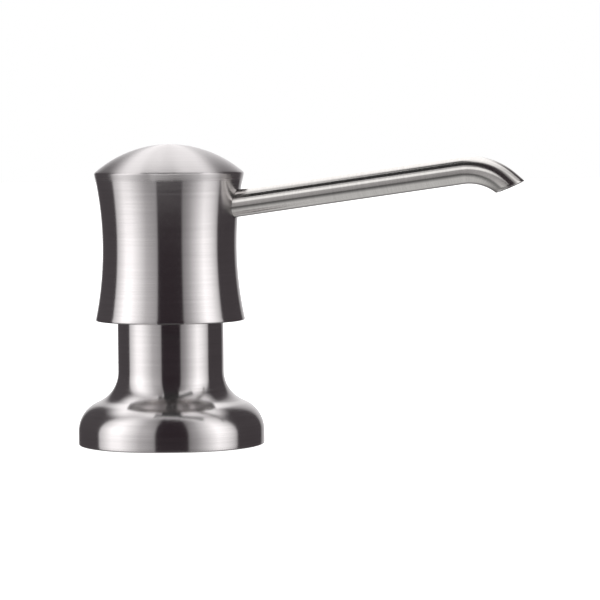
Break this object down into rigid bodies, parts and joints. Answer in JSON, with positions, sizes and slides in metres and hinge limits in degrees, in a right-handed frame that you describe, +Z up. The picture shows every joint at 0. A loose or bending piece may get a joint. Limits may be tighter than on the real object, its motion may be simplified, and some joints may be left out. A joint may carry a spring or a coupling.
{
  "type": "soap pump dispenser",
  "caption": "Deck-mounted soap dispenser: waisted, domed pump head with a slim bent spout on a bell-shaped base, with its lift-out pump cartridge inside.",
  "frame": {"origin": "middle of the deck hole, on the deck: the pump's axis at the base's underside", "axes": "+Z up along the pump's axis, +X along the spout, towards the user at rest"},
  "size_m": [0.1268, 0.0522, 0.084],
  "materials": {
    "brushed_nickel": "brushed round the axis",
    "socket_brass": "machined",
    "spring_steel": "drawn wire",
    "polished_steel": "polished",
    "white_plastic": "moulded",
    "clear_plastic": "moulded, milky",
    "seal_rubber": "matt"
  },
  "bodies": {
    "base": {"base_body": "brushed_nickel", "base_gasket": "seal_rubber", "shank_socket": "socket_brass"},
    "cartridge": {"cartridge_housing": "clear_plastic", "cartridge_collar": "white_plastic", "collar_o_ring": "seal_rubber", "stem_guide": "white_plastic", "stem_seal": "seal_rubber", "inlet_ball_cage": "white_plastic", "return_spring": "spring_steel"},
    "inlet_valve": {"inlet_ball": "polished_steel"},
    "plunger": {"pump_stem": "white_plastic", "piston_core": "white_plastic", "piston_seal": "clear_plastic", "outlet_ball_stop": "white_plastic"},
    "outlet_valve": {"outlet_ball": "polished_steel"},
    "head": {"head_shell": "brushed_nickel", "head_insert": "white_plastic", "stem_o_ring": "seal_rubber", "insert_circlip": "spring_steel", "skirt_guide_ring": "white_plastic", "spout_tube": "brushed_nickel", "spout_liner": "clear_plastic", "spout_o_ring": "seal_rubber"}
  },
  "joints": [
    {"name": "cartridge_lift", "type": "slide", "parent": "base", "child": "cartridge", "axis": [0, 0, 1], "range_m": [0, 0.06]},
    {"name": "inlet_ball_lift", "type": "slide", "parent": "cartridge", "child": "inlet_valve", "axis": [0, 0, 1], "range_m": [0, 0.0013]},
    {"name": "pump_press", "type": "slide", "parent": "cartridge", "child": "plunger", "axis": [0, 0, -1], "range_m": [0, 0.015], "stiffness_N_per_m": 400, "springref_m": -0.02, "deforming": ["return_spring"]},
    {"name": "outlet_ball_lift", "type": "slide", "parent": "plunger", "child": "outlet_valve", "axis": [0, 0, 1], "range_m": [0, 0.0012]},
    {"name": "head_swivel", "type": "hinge", "parent": "plunger", "child": "head", "pos_m": [0, 0, 0.0605], "axis": [0, 0, 1], "continuous": true}
  ]
}
